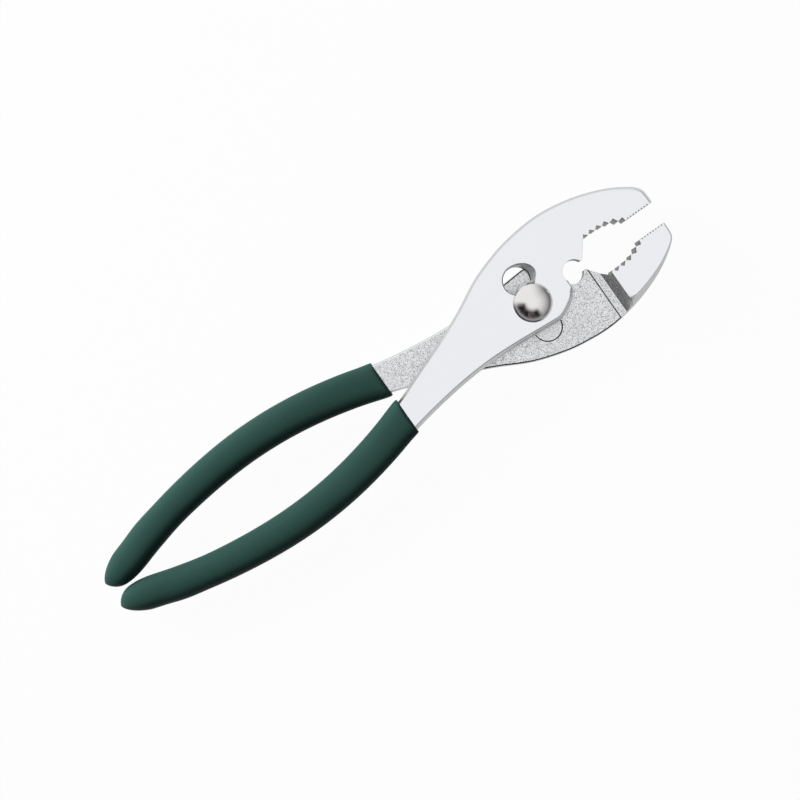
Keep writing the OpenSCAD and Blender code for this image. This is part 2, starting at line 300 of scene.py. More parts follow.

# %% [markdown]
# ## Painted shade lines
#
# Thin dark lines are painted along edges of the laps where shade falls. This finish is a
# matt near-black, a little uneven, so a small noise varies its grey.

# %% Painted shade lines
SHADE_GRAIN = 0.8 * MM

painted_shade_plate, tree, output, place = new_material("painted_shade_lines")
shade_noise = add_node(
    tree, "ShaderNodeTexNoise",
    sockets={"Scale": 1 / SHADE_GRAIN, "Detail": 3.0},
    links={"Vector": place},
)
tint = add_node(
    tree, "ShaderNodeMix", settings={"data_type": "RGBA"},
    sockets={MIX_FIRST: linear("#2E2E30"), MIX_SECOND: linear("#6A6A6C")},
    links={MIX_SHARE: shade_noise.outputs["Fac"]},
)
shader = add_node(
    tree, "ShaderNodeBsdfPrincipled",
    sockets={"Metallic": 0.0, "Roughness": 0.7, "IOR": 1.5, "Specular IOR Level": 0.2},
    links={"Base Color": tint.outputs[MIX_COLOUR]},
)
tree.links.new(shader.outputs["BSDF"], output.inputs["Surface"])

# %% [markdown]
# ## Bright bolt steel
#
# The bolt's domed head is buffed to a mirror and shows the whole studio, bent round it. A mirror
# needs little texture: faint buffing rings and a few smears in the roughness keep it from
# looking new.

# %% Bright bolt steel
SMEAR = 3 * MM
RING_PITCH = 1.885 * MM
WAVE_UNIT = 2 * math.pi / 20  # how far apart a Wave texture's rings are at a scale of 1

bright_steel, tree, output, place = new_material("mirror_buffed_steel")
smear = add_node(
    tree, "ShaderNodeTexNoise",
    sockets={"Scale": 1 / SMEAR, "Detail": 3.0},
    links={"Vector": place},
)
rough = add_node(
    tree, "ShaderNodeMapRange",
    sockets={"To Min": 0.08, "To Max": 0.2},
    links={"Value": smear.outputs["Fac"]},
)
rings = add_node(
    tree, "ShaderNodeTexWave",
    settings={"wave_type": "RINGS", "rings_direction": "Z"},
    sockets={"Scale": WAVE_UNIT / RING_PITCH, "Distortion": 1.0, "Detail": 1.0},
    links={"Vector": place},
)
bump = add_node(
    tree, "ShaderNodeBump",
    sockets={"Strength": 0.03, "Distance": 0.02 * MM},
    links={"Height": rings.outputs["Fac"]},
)
shader = add_node(
    tree, "ShaderNodeBsdfPrincipled",
    sockets={"Metallic": 1.0, "Base Color": linear("#E8E6E5")},
    links={"Roughness": rough.outputs["Result"], "Normal": bump.outputs["Normal"]},
)
tree.links.new(shader.outputs["BSDF"], output.inputs["Surface"])

# %% [markdown]
# ## Dipped vinyl
#
# The grips are made by dipping the hot handles in liquid PVC, which gels to a soft skin. Such a
# skin has a satin gloss and a faint orange peel, about 0.6 mm wide. A slow noise also shifts the
# dark green a little, because the dye never mixes quite evenly.

# %% Dipped vinyl
ORANGE_PEEL = 0.6 * MM
DYE_CLOUD = 9 * MM

dipped_vinyl, tree, output, place = new_material("dipped_green_vinyl")
cloud = add_node(
    tree, "ShaderNodeTexNoise",
    sockets={"Scale": 1 / DYE_CLOUD, "Detail": 3.0},
    links={"Vector": place},
)
tint = add_node(
    tree, "ShaderNodeMix", settings={"data_type": "RGBA"},
    sockets={MIX_FIRST: linear("#2F4F48"), MIX_SECOND: linear("#35534C")},
    links={MIX_SHARE: cloud.outputs["Fac"]},
)
peel = add_node(
    tree, "ShaderNodeTexNoise",
    sockets={"Scale": 1 / ORANGE_PEEL, "Detail": 2.0},
    links={"Vector": place},
)
rough = add_node(
    tree, "ShaderNodeMapRange",
    sockets={"To Min": 0.44, "To Max": 0.56},
    links={"Value": peel.outputs["Fac"]},
)
bump = add_node(
    tree, "ShaderNodeBump",
    sockets={"Strength": 0.12, "Distance": 0.08 * MM},
    links={"Height": peel.outputs["Fac"]},
)
shader = add_node(
    tree, "ShaderNodeBsdfPrincipled",
    sockets={"Metallic": 0.0, "IOR": 1.53, "Specular IOR Level": 0.1},
    links={
        "Base Color": tint.outputs[MIX_COLOUR],
        "Roughness": rough.outputs["Result"],
        "Normal": bump.outputs["Normal"],
    },
)
tree.links.new(shader.outputs["BSDF"], output.inputs["Surface"])

# %% [markdown]
# ## Placing a piece
#
# Each finished piece stands for one CAD node: it rides on the node's body, hides the node and
# takes its materials. One function makes these three calls, so that no piece misses one.

# %% Placing helper
def place_piece(mesh, node, materials):
    """Links the mesh as a piece that stands for the CAD node, and returns its object."""
    piece = bpy.data.objects.new(mesh.name, mesh)
    bpy.context.scene.collection.objects.link(piece)
    mesh.materials.clear()
    for material in materials:
        mesh.materials.append(material)
    body = frame["nodes"][node]["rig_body"]
    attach(piece, body)
    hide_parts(node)
    print(f"{piece.name}: {len(mesh.polygons)} faces, rides on {body}")
    return piece


print("nodes to dress:", sorted(frame["nodes"]))

# %% [markdown]
# ## The forged halves
#
# A forging has no knife edges: dies, tumbling and buffing leave every edge a little round. The
# CAD mesh has the right shape but perfectly sharp edges and many triangles. So its corners are
# welded, flat triangles are joined into whole faces, and each edge gets a bevel weight. A large
# weight goes to the buffed outline and a small one to the teeth, which would lose their bite
# under a wide bevel.
#
# First come the places on a half, in millimetres, with one small test for each.

# %% Places on the halves
MID_Z = 9.25  # height of the joint's plane
FACE_Z = 14.25  # height of the front face
FACE_NEAR = 4.8  # least distance of an outer face from the joint's plane
LAP_Z = 9.15  # height of the pivot half's lap
CENTRE_Y = 0.6  # middle of the mouth
NOTCH_X = 15.6  # middle of the wire notch
NOTCH_R = 3.9
HOLLOW_HALF = 7.8  # half the width of the pipe hollow, with its teeth
NOSE_X = 36.9  # start of the fine teeth
NOSE_HALF = 4.3  # half the width between the noses, with their teeth
NOSE_END = 46.0
JOINT_HALF_W = 6.8
JOINT_LONG = 13.7  # reach of the slot or of the mark from the bolt
JOINT_SHORT = 5.0  # reach of the bore on the other side


def in_mouth(p):
    """Is this point on the teeth, the throat or the wire notch?"""
    from_centre = abs(p.y - CENTRE_Y)
    if math.hypot(p.x - NOTCH_X, from_centre) < NOTCH_R:
        return True
    return NOTCH_X < p.x < NOSE_END and from_centre < (NOSE_HALF if p.x > NOSE_X else HOLLOW_HALF)


def in_joint(p, side):
    """Is this point in the slot, the bore or the mark? Side is 1 where these run to +Y."""
    return abs(p.x) < JOINT_HALF_W and -JOINT_SHORT < p.y * side < JOINT_LONG


def on_face(p):
    """Is this point on one of the outer faces?"""
    return abs(p.z - MID_Z) > FACE_NEAR


print("outer faces are more than", FACE_NEAR, "mm from the middle")

# %% [markdown]
# Which finish a face has follows from where it lies: flat and outermost is buffed, flat and
# inside is blasted, cut walls are milled, and what is left is the tumbled side of the forging.
# How round an edge is follows from the same places.

# %% Finish and edge rules
# The last finish is painted shade, laid on thin lines where shade falls.
POLISHED, BLASTED, TUMBLED, MILLED, PAINTED_SHADE = range(5)
FLAT_Z = 0.9  # least upward share of a flat face's normal
UPRIGHT_Z = 0.2  # greatest upward share of a cut wall's normal
MOUTH_ROUND = 0.09
JOINT_ROUND = 0.14
LAP_ROUND = 0.3
FACE_ROUND = 0.65


def finish_of(centre, normal, side):
    """Number of the material that a face of a half has."""
    flat = abs(normal.z) > FLAT_Z
    if flat and on_face(centre):
        return POLISHED
    if flat or in_joint(centre, side):
        return BLASTED
    if in_mouth(centre) and abs(normal.z) < UPRIGHT_Z:
        return MILLED
    return TUMBLED


def edge_round(centre, side):
    """Rounding of an edge of a half, in millimetres."""
    if in_mouth(centre):
        return MOUTH_ROUND
    if in_joint(centre, side):
        return JOINT_ROUND
    return FACE_ROUND if on_face(centre) else LAP_ROUND


print("the outline is rounded by", FACE_ROUND, "mm")

# %% [markdown]
# Some edges of the lap look drawn in ink: the rim of the half-round mark, the edge of the relief
# strip before the step, the edge seen through the slot's window and the lap's outer brink.
# Shade falls along these edges, so each gets a narrow slope in the painted-shade finish. A
# line in a texture could look the same from above, but it would need a map of the lap, and a
# bevel finds the edge by itself.

# %% Dark edges
SHARP_FROM = math.radians(18)
NEAR = 0.06  # how far off a point may be and still count as on a line
MARK_Y = -8.6  # middle of the half-round mark
MARK_R = 4.3
MARK_TO = -7.0
RELIEF_X = 20.0  # edge of the relief strip
WINDOW_HALF = 8.0
WINDOW_Y = 8.0
BRINK_R = 15.0  # least distance of the outer brink from the bolt
BRINK_Y = -6.0
DARK_EDGE = 0.34


def is_dark_edge(edge):
    """Is this a sharp edge of the lap, at the mark, the relief, the window or the brink?"""
    if edge.calc_face_angle(0) < SHARP_FROM:
        return False
    for p in (v.co for v in edge.verts):
        on_mark = abs(math.hypot(p.x, p.y - MARK_Y) - MARK_R) < NEAR and p.y < MARK_TO
        on_relief = abs(p.x - RELIEF_X) < NEAR
        in_window = abs(p.x) < WINDOW_HALF and p.y > WINDOW_Y
        on_brink = math.hypot(p.x, p.y) > BRINK_R and p.y < BRINK_Y
        if abs(p.z - LAP_Z) > NEAR or not (on_mark or on_relief or in_window or on_brink):
            return False
    return True


print("dark edges are", DARK_EDGE, "mm wide")

# %% [markdown]
# On the slotted half, the slot's wall on the jaw side leans out to the face, as a punch leaves
# it, so the rim is drawn out there. Shade falls along the foot of that wall, where the laps meet.
# A cut at one height parts the wall in two, and the lower strip takes the painted-shade finish.

# %% Leaning slot wall, with painted shade at its foot
SLOT_Y = 8.2  # middle of the slot's free place
SLOT_R = 4.3
RIM_DEEP = 0.5  # how near to the face a point of the rim is
LEAN = 1.5
LEAN_HALF = math.radians(80)  # the wall leans this far to either side of the jaws' direction
STEEP_Z = 0.6  # greatest upward share of a leaning wall's normal
SHADE_STRIP_TOP = 10.2  # top of the dark strip
CLEAR_Y = 5.6  # the wall is clear of the bolt's head from here


def lean_slot_wall(work):
    """Draws the slot's rim out on the jaw side, most in the middle of that side."""
    for v in work.verts:
        way = math.atan2(v.co.y - SLOT_Y, v.co.x)
        reach = math.hypot(v.co.x, v.co.y - SLOT_Y)
        if v.co.z > FACE_Z - RIM_DEEP and reach < SLOT_R + 2 * RIM_DEEP and abs(way) < LEAN_HALF:
            v.co.x += LEAN * math.cos(way * math.pi / 2 / LEAN_HALF)


def on_far_wall(face):
    """Is this face on the wall of the slot's free place, clear of the bolt's head?"""
    centre = face.calc_center_median()
    return in_joint(centre, 1) and centre.y > CLEAR_Y and abs(face.normal.z) < STEEP_Z


def paint_slot_shade(work):
    """Paints a line of shade along the foot of the slot's wall, where the two laps meet."""
    wall = [face for face in work.faces if on_far_wall(face)]
    rims = {edge for face in wall for edge in face.edges}
    points = {v for face in wall for v in face.verts}
    bmesh.ops.bisect_plane(
        work, geom=wall + list(rims) + list(points),
        plane_co=(0, 0, SHADE_STRIP_TOP), plane_no=(0, 0, 1),
    )
    for face in work.faces:
        if on_far_wall(face) and LAP_Z < face.calc_center_median().z < SHADE_STRIP_TOP:
            face.material_index = PAINTED_SHADE


print("the slot's wall leans by", LEAN, "mm")

# %% [markdown]
# The face of each jaw over its step is ground back along its outer edge, most at the step, where
# a belt has also rounded its corner. The points of that edge are drawn in along an arc. The wall
# of the step under the arc is split into a fan of triangles, because one face with so bent an
# edge would not be flat.

# %% Ground jaw
STEP_X = 24.5
GRIND = 1.2  # how far the edge is drawn in at the step
GRIND_RUN = 20.5  # the edge is drawn in over this length
CORNER_R = 3.2
CORNER_POINTS = 3


def on_jaw_face(p, side):
    """Is this point on the jaw's face over the step, away from the teeth?"""
    near_face = abs(p.z - MID_Z + side * (FACE_Z - MID_Z)) < NEAR
    return near_face and p.x > STEP_X - NEAR and abs(p.y - CENTRE_Y) > HOLLOW_HALF


def split_step_edge(corner, rim):
    """Adds points along the top of the step from its outer corner, and returns them."""
    added = [corner]
    for _ in range(CORNER_POINTS):
        last = added[-1]
        along = [
            edge for edge in last.link_edges
            if edge.other_vert(last) not in rim + added
            and (edge.other_vert(last).co - last.co).cross(Vector((0, 1, 0))).length < NEAR
        ]
        share = CORNER_R / CORNER_POINTS / along[0].calc_length()
        added.append(bmesh.utils.edge_split(along[0], last, share)[1])
    return added


def fan_corner(top):
    """Splits the step's wall under the rounded corner into a fan from the point below it."""
    beside = [edge.other_vert(top[0]) for edge in top[0].link_edges]
    below = next(v for v in beside if not on_face(v.co))
    for v in top[1:]:
        wall = next(face for face in v.link_faces if below in face.verts)
        bmesh.utils.face_split(wall, v, below)


def grind_jaw(work, side):
    """Draws in the outer edge of the jaw's face, and returns the points of its rounded corner."""
    rim = [v for v in work.verts if on_jaw_face(v.co, side)]
    corner = min(rim, key=lambda v: v.co.x)
    top = split_step_edge(corner, rim)
    fan_corner(top)
    corner_y, out = corner.co.y, math.copysign(1, corner.co.y - CENTRE_Y)
    # Places run from -1 at the arc's end on the step to 1 at its end on the outer edge.
    places = {v: abs(corner_y - v.co.y) / -CORNER_R for v in top}
    places.update({v: (v.co.x - STEP_X) / CORNER_R for v in rim if v is not corner})
    for v, place in places.items():
        if place < 1:
            turn = math.pi / 4 * (1 + place)
            edge_y = corner_y if v in top else v.co.y
            v.co.x = STEP_X + CORNER_R * (1 - math.cos(turn))
            v.co.y = edge_y - out * CORNER_R * (1 - math.sin(turn))
        v.co.y -= out * GRIND * max(0, 1 - (v.co.x - STEP_X) / GRIND_RUN)
    return [v for v, place in places.items() if place < 1]


print("each jaw is ground back by up to", GRIND, "mm")

# %% [markdown]
# A half is now put together. Its mesh is worked in millimetres, and its edges get their weights
# last. The edges under the ground corner stay sharp, and so do the dark ones. The rounding
# itself is a Bevel modifier, so its width can still be changed. Its strips take the polished
# finish, because tumbling and handling burnish the edges first.

# %% Mesh of a half
CORNER_WELD = 0.05  # points nearer than this are joined in the CAD mesh
WELD = 0.002  # and in the finished mesh
FLAT_WITHIN = math.radians(0.3)


def half_mesh(node, name, side):
    """The mesh of a half, with joined faces, finishes by face and bevel weights."""
    work = bmesh.new()
    work.from_mesh(frame["nodes"][node].data)
    bmesh.ops.scale(work, vec=(1 / MM,) * 3, verts=work.verts)
    bmesh.ops.remove_doubles(work, verts=work.verts, dist=CORNER_WELD)
    bmesh.ops.dissolve_limit(
        work, angle_limit=FLAT_WITHIN, verts=work.verts, edges=work.edges,
    )
    for face in work.faces:
        face.smooth = True
        face.material_index = finish_of(face.calc_center_median(), face.normal, side)
    corner = grind_jaw(work, side)
    if side > 0:
        lean_slot_wall(work)
        # The foot of the slot's wall gets a strip of painted shade.
        paint_slot_shade(work)
    else:
        # The lap's dark edges get a narrow bevel of painted shade.
        dark_edges = [edge for edge in work.edges if is_dark_edge(edge)]
        bmesh.ops.bevel(
            work, geom=dark_edges, offset=DARK_EDGE, segments=1,
            affect="EDGES", material=PAINTED_SHADE,
        )
        bmesh.ops.remove_doubles(work, verts=work.verts, dist=WELD)
    weight = work.edges.layers.float.new("bevel_weight_edge")
    for edge in work.edges:
        # Edges along a painted shade line are left out of the rounding.
        by_painted_shade = any(face.material_index == PAINTED_SHADE for face in edge.link_faces)
        at_corner = any(v in corner for v in edge.verts)
        under_corner = at_corner and not all(on_face(v.co) for v in edge.verts)
        is_sharp = edge.calc_face_angle(0) > SHARP_FROM
        if is_sharp and not by_painted_shade and not under_corner:
            middle = (edge.verts[0].co + edge.verts[1].co) / 2
            edge[weight] = edge_round(middle, side) / FACE_ROUND
    bmesh.ops.scale(work, vec=(MM,) * 3, verts=work.verts)
    mesh = bpy.data.meshes.new(name)
    work.to_mesh(mesh)
    work.free()
    return mesh


print("edges that turn by more than", round(math.degrees(SHARP_FROM)), "degrees are rounded")

# %% Build the halves
ROUND_STEPS = 3
FLAT_FACE_WEIGHT = 80
# The last plate is the painted-shade finish.
PLATES = [polished_plate, blasted_plate, tumbled_plate, milled_plate, painted_shade_plate]


def forged_half(node, name, side):
    """Places a half and rounds its edges."""
    mesh = half_mesh(node, name, side)
    finishes = [face.material_index for face in mesh.polygons]
    piece = place_piece(mesh, node, PLATES)
    mesh.polygons.foreach_set("material_index", finishes)
    bevel = piece.modifiers.new("rounded_edges", "BEVEL")
    bevel.limit_method = "WEIGHT"
    bevel.width = FACE_ROUND * MM
    bevel.segments = ROUND_STEPS
    bevel.material = POLISHED
    bevel.use_clamp_overlap = False
    normals = piece.modifiers.new("flat_faces_stay_flat", "WEIGHTED_NORMAL")
    normals.weight = FLAT_FACE_WEIGHT


forged_half("slotted_half", "slotted_forging", 1)
forged_half("pivot_half", "pivot_forging", -1)

# %% [markdown]
# ## Turned pieces
#
# The bolt and the nut are turned on a lathe. Blender's Screw and Spin tools can turn a profile,
# but a thread and a hexagon also change round the axis. So one helper skins rings of points:
# each ring says how far the surface is from the axis at every angle, and neighbouring rings are
# joined with quads. Points where two rings meet are welded, so that no quad is left without a
# width.

# %% Ring helper
COLUMNS = 96
SHARP_TURN = math.radians(20)
TINY = 1e-6


def ring(radius_at, height):
    """Points round the bolt's axis, in millimetres. The radius may change with the angle."""
    angles = [2 * math.pi * i / COLUMNS for i in range(COLUMNS)]
    return [
        Vector((radius_at(a) * math.cos(a), radius_at(a) * math.sin(a), height)) for a in angles
    ]


def skin(name, rings, loop=False):
    """A mesh of quads through rings, closed at its ends or, as a loop, back to the first."""
    mesh = bpy.data.meshes.new(name)
    points = [tuple(p * MM) for r in rings for p in r]
    count = len(rings[0])
    rows = len(rings) if loop else len(rings) - 1
    faces = []
    for i in range(rows):
        low, high = i * count, (i + 1) % len(rings) * count
        columns = [(j, (j + 1) % count) for j in range(count)]
        faces += [(low + j, low + after, high + after, high + j) for j, after in columns]
    if not loop:
        faces.append(tuple(reversed(range(count))))
        faces.append(tuple((len(rings) - 1) * count + j for j in range(count)))
    mesh.from_pydata(points, [], faces)
    work = bmesh.new()
    work.from_mesh(mesh)
    bmesh.ops.remove_doubles(work, verts=work.verts, dist=WELD * MM)
    work.to_mesh(mesh)
    work.free()
    mesh.polygons.foreach_set("use_smooth", [True] * len(mesh.polygons))
    mesh.set_sharp_from_angle(angle=SHARP_TURN)
    return mesh


print("rings have", COLUMNS, "points")

# %% [markdown]
# ## The bolt
#
# From the bottom up the bolt has a threaded end, a shoulder that the nut is drawn up to, a round
# journal in the pivot half, a shank with two flats in the slot, and the domed head. The thread
# is a real helix: at each angle its crests are shifted up by that share of the pitch. The head
# has a short sloped rim, and its dome meets the rim at 45 degrees. A steeper dome would mirror
# the face beside it as a bright ring.

# %% Sizes of the bolt
THREAD_R = 3.0
THREAD_PITCH = 1.0
THREAD_DEEP = 0.45
THREAD_START = 0.7  # how far the thread's end is turned down
SHOULDER_Z = 4.2
SHANK_R = 3.9
FLAT_HALF = 3.1
HEAD_Z = 14.3
HEAD_R = 6.0
HEAD_H = 3.5
EDGE_ROUND = 0.15
RIM_SLOPE = 0.45
DOME_TURN = math.radians(45)


def thread_radius(height):
    """Radius of the thread at a height, as a function of the angle."""
    def at(angle):
        turn = (height / THREAD_PITCH - angle / (2 * math.pi)) % 1
        tip = THREAD_R - THREAD_DEEP * abs(2 * turn - 1)
        return min(tip, THREAD_R - THREAD_START + height)
    return at


def flatted_radius(angle):
    """Radius of the shank with its two flats."""
    return min(SHANK_R, FLAT_HALF / max(abs(math.cos(angle)), TINY))


print("thread:", THREAD_PITCH, "mm pitch")

# %% Build the bolt
THREAD_STEP = 0.1
DOME_RINGS = 25
dome_r = (HEAD_R - RIM_SLOPE) / math.sin(DOME_TURN)
dome_low = HEAD_Z + HEAD_H - dome_r

heights = [THREAD_STEP * k for k in range(int(SHOULDER_Z / THREAD_STEP) + 1)]
rings = [ring(thread_radius(height), height) for height in heights]
rings += [
    ring(lambda a: SHANK_R - EDGE_ROUND, SHOULDER_Z),
    ring(lambda a: SHANK_R, SHOULDER_Z + EDGE_ROUND),
    ring(lambda a: SHANK_R, MID_Z),
    ring(flatted_radius, MID_Z),
    ring(flatted_radius, HEAD_Z),
    ring(lambda a: HEAD_R - EDGE_ROUND, HEAD_Z),
    ring(lambda a: HEAD_R, HEAD_Z + EDGE_ROUND),
]
# The last ring is half a step from the top, and its flat end closes the dome.
for k in range(DOME_RINGS):
    turn = DOME_TURN * (1 - k / (DOME_RINGS - 0.5))
    rings.append(ring(lambda a: dome_r * math.sin(turn), dome_low + dome_r * math.cos(turn)))
place_piece(skin("domed_bolt", rings), "pivot_bolt", [bright_steel])

# %% [markdown]
# ## The nut
#
# A hexagon is a circle whose radius is held back by six flat sides, so the ring helper makes it
# too. Its outer corners are turned off to a wide ball, which gives each flat the curved top edge
# that every machined nut has. The bore is countersunk to let the thread start.

# %% Build the nut
NUT_LOW = 0.6
NUT_HIGH = 4.2
NUT_HALF = 5.5
NUT_BORE = 3.05
SINK = 0.35
NUT_STEP = 0.06
NUT_STEPS = 11  # rings over the height where the corners are turned off
NUT_FULL = 1.0  # the hexagon is whole from this height on
NUT_EDGE = 0.1
corner_r = NUT_HALF / math.cos(math.pi / 6)
ball_r = 2 * corner_r
ball_z = math.sqrt(ball_r ** 2 - NUT_HALF ** 2)


def nut_radius(height):
    """Radius of the hexagon at a height over its outer face, with the corners turned off."""
    ball = math.sqrt(ball_r ** 2 - (ball_z - height) ** 2)
    return lambda angle: min(NUT_HALF / math.cos(angle % (math.pi / 3) - math.pi / 6), ball)


rings = [ring(lambda a: NUT_BORE, NUT_HIGH), ring(lambda a: NUT_BORE, NUT_LOW + SINK)]
rings += [ring(lambda a: NUT_BORE + SINK, NUT_LOW)]
rings += [ring(nut_radius(NUT_STEP * k), NUT_LOW + NUT_STEP * k) for k in range(NUT_STEPS)]
rings += [ring(nut_radius(NUT_HIGH - NUT_LOW - NUT_EDGE), NUT_HIGH - NUT_EDGE)]
rings += [ring(lambda a: nut_radius(NUT_FULL)(a) - NUT_EDGE, NUT_HIGH)]
nut_mesh = skin("hexagon_nut", rings, loop=True)
place_piece(nut_mesh, "pivot_nut", [bright_steel])

# %% [markdown]
# ## The dipped grips
#
# A dipped skin has no corner at all, apart from the lip at its mouth. The CAD sleeve is a coarse
# net of triangles with a boxy section. So its triangles are paired back into quads, each ring of
# the outside is drawn in to a rounder section, and a subdivision surface smooths the net. The
# lip's edges get a crease to hold the mouth close round the steel.
#
# A section is an oval with a power: 2 is a plain ellipse, and a larger power fills its corners.
# A drop of vinyl gathers where the dipped handle drains, so the end is fuller, and the waist
# before it is filled a little on both sides.

# %% Rounder rings
RING_POINTS = 24  # a ring of the net has at least this many points
STEEL_HALF_W = 4.7  # narrower rings lie on the steel inside, except at the end
MOUTH_GRIP_X = -50.4
FULL_RUN = 34.0  # the section changes over this length from the mouth
FULL_AT_MOUTH = 2.5
FULL_AT_END = 2.1
ELLIPSE = 2
BOXY = 2.8  # power of the CAD section
OUTSIDE = 0.93  # least size of an outside point in the CAD section
TIP_X = -146.0
TIP_LONG = 9.0
TIP_FULL = 2.7
# Middle, reach and height of each fill, on the side to the other grip and on the far side.
INNER_FILLS = (-136.0, 12.0, 0.055), (-153.0, 6.0, 0.14)
OUTER_FILLS = (-141.0, 13.0, 0.095), (-151.0, 5.0, -0.03)


def oval_size(across, up, power):
    """Size of the oval through a point, where 1 is the full width and height of the ring."""
    return (abs(across) ** power + abs(up) ** power) ** (1 / power)


def oval_rest(along, power):
    """Half height of an oval of half height 1 at a share of its half length from its middle."""
    return max(1 - along ** power, TINY) ** (1 / power)


def filled(x, fills):
    """How far the vinyl is filled out at x, where each fill is one smooth hump."""
    size = 1.0
    for middle, reach, height in fills:
        away = min(1, abs(x - middle) / reach)
        size += height * math.cos(math.pi / 2 * away) ** 2
    return size


def round_rings(work):
    """Draws the outside of a grip in to rounder ovals, ring by ring, and leaves its inside."""
    rings = {}
    for v in work.verts:
        rings.setdefault(round(v.co.x, 3), []).append(v.co)
    for x, points in rings.items():
        low = Vector((x, min(p.y for p in points), min(p.z for p in points)))
        high = Vector((x, max(p.y for p in points), max(p.z for p in points)))
        middle, half = (low + high) / 2, (high - low) / 2
        if len(points) < RING_POINTS or (half.y < STEEL_HALF_W and x > TIP_X):
            continue
        run = min(1, (MOUTH_GRIP_X - x) / FULL_RUN)
        power = FULL_AT_MOUTH + (FULL_AT_END - FULL_AT_MOUTH) * run
        tip = max(0, min(1, (TIP_X - x) / TIP_LONG))
        fuller = oval_rest(tip, TIP_FULL) / oval_rest(tip, ELLIPSE)
        inner, outer = filled(x, INNER_FILLS), filled(x, OUTER_FILLS)
        for p in points:
            is_inner = (CENTRE_Y - middle.y) * (p.y - middle.y) > 0
            across, up = (p.y - middle.y) / half.y, (p.z - middle.z) / half.z
            size = oval_size(across, up, BOXY)
            if size > OUTSIDE:
                drawn_in = size / oval_size(across, up, power)
                p.y = middle.y + (p.y - middle.y) * drawn_in * (inner if is_inner else outer)
                p.z = middle.z + (p.z - middle.z) * drawn_in * fuller


print("sections go from power", FULL_AT_MOUTH, "to", FULL_AT_END)

# %% Build the grips
NET_WELD = 0.01
PAIR_FLAT = math.radians(50)  # triangles pair up when they bend by less than this
PAIR_SKEW = math.radians(70)
LIP_FROM = math.radians(60)
LIP_CREASE = 0.6
SKIN_LEVELS = 2


def dipped_grip(node, name):
    """Places a grip, with its facets rounded to one soft skin."""
    work = bmesh.new()
    work.from_mesh(frame["nodes"][node].data)
    bmesh.ops.scale(work, vec=(1 / MM,) * 3, verts=work.verts)
    bmesh.ops.remove_doubles(work, verts=work.verts, dist=NET_WELD)
    bmesh.ops.join_triangles(
        work, faces=work.faces,
        angle_face_threshold=PAIR_FLAT, angle_shape_threshold=PAIR_SKEW,
    )
    round_rings(work)
    crease = work.edges.layers.float.new("crease_edge")
    for edge in work.edges:
        if edge.calc_face_angle(0) > LIP_FROM:
            edge[crease] = LIP_CREASE
    for face in work.faces:
        face.smooth = True
    bmesh.ops.scale(work, vec=(MM,) * 3, verts=work.verts)
    mesh = bpy.data.meshes.new(name)
    work.to_mesh(mesh)
    work.free()
    piece = place_piece(mesh, node, [dipped_vinyl])
    soft = piece.modifiers.new("soft_skin", "SUBSURF")
    soft.levels = SKIN_LEVELS
    soft.render_levels = SKIN_LEVELS


dipped_grip("pivot_grip", "pivot_dipped_grip")
dipped_grip("slotted_grip", "slotted_dipped_grip")

# %% [markdown]
# ## Floor
#
# The picture has a white ground. The floor is a pale matt sheet, and most of what the camera
# sees of it is a plain white, so it stays white without more light on the tool. The rest of its
# shading is left in, so the tool still has a faint shadow. Reflections get less of the white, so
# that the steel's sides also show the shadow beside them.

# %% Floor material
WHITE_SEEN = 0.97
WHITE_MIRRORED = 0.58

floor_sheet, tree, output, _ = new_material("white_studio_sheet")
path = add_node(tree, "ShaderNodeLightPath").outputs
seen = add_node(
    tree, "ShaderNodeMath", settings={"operation": "MAXIMUM"},
    links={0: path["Is Camera Ray"], 1: path["Is Transmission Ray"]},
)
seen_share = add_node(
    tree, "ShaderNodeMath", settings={"operation": "MULTIPLY"},
    sockets={1: WHITE_SEEN}, links={0: seen.outputs["Value"]},
)
share = add_node(
    tree, "ShaderNodeMath", settings={"operation": "MULTIPLY_ADD"},
    sockets={1: WHITE_MIRRORED},
    links={0: path["Is Glossy Ray"], 2: seen_share.outputs["Value"]},
)
matt = add_node(tree, "ShaderNodeBsdfDiffuse", sockets={"Color": linear("#D8D8D8")})
white = add_node(
    tree, "ShaderNodeEmission", sockets={"Color": linear("#FFFFFF"), "Strength": 1.0},
)
mixed = add_node(
    tree, "ShaderNodeMixShader",
    links={0: share.outputs["Value"], 1: matt.outputs["BSDF"], 2: white.outputs["Emission"]},
)
tree.links.new(mixed.outputs["Shader"], output.inputs["Surface"])

# %% Floor sheet
FLOOR_HALF = 3.0
FLOOR_DROP = 0.02 * MM

signs = [(-1, -1), (1, -1), (1, 1), (-1, 1)]
corners = [(x * FLOOR_HALF, y * FLOOR_HALF, -FLOOR_DROP) for x, y in signs]
floor_mesh = bpy.data.meshes.new("studio_floor")
floor_mesh.from_pydata(corners, [], [(0, 1, 2, 3)])
floor_mesh.materials.append(floor_sheet)
floor = bpy.data.objects.new("studio_floor", floor_mesh)
bpy.context.scene.collection.objects.link(floor)
print("floor:", 2 * FLOOR_HALF, "m wide")

# %% [markdown]
# ## Light
#
# Bright metal shows what stands round it. The surround is white above and to the upper left of
# the picture, grey low on the right, and dark where the photographer stands, to the lower left.
# This gives the edges, the teeth and the dome their contrast. It could be built from cards, but
# a painted surround has softer borders. Matt surfaces get an even, weaker share of it, and one
# wide lamp from the left shapes them.

# %% Directions of the picture
PICTURE_TURN = math.radians(35.1)
RIGHT = Vector((math.cos(PICTURE_TURN), -math.sin(PICTURE_TURN), 0))
UP = Vector((math.sin(PICTURE_TURN), math.cos(PICTURE_TURN), 0))
CENTRE = Vector((-49.6, -1.0, 0)) * MM


def picture_way(turn, rise):
    """Direction at a turn from the picture's right and a rise over the floor, in degrees."""
    turn, rise = math.radians(turn), math.radians(rise)
    flat = RIGHT * math.cos(turn) + UP * math.sin(turn)
    return flat * math.cos(rise) + Vector((0, 0, math.sin(rise)))


print("right in the picture is", tuple(round(c, 2) for c in RIGHT))

# %% [markdown]
# The surround is a world shader. Every ray that leaves the scene asks it for a colour by the
# ray's direction, which is parted here into a rise over the floor and a bearing round it.

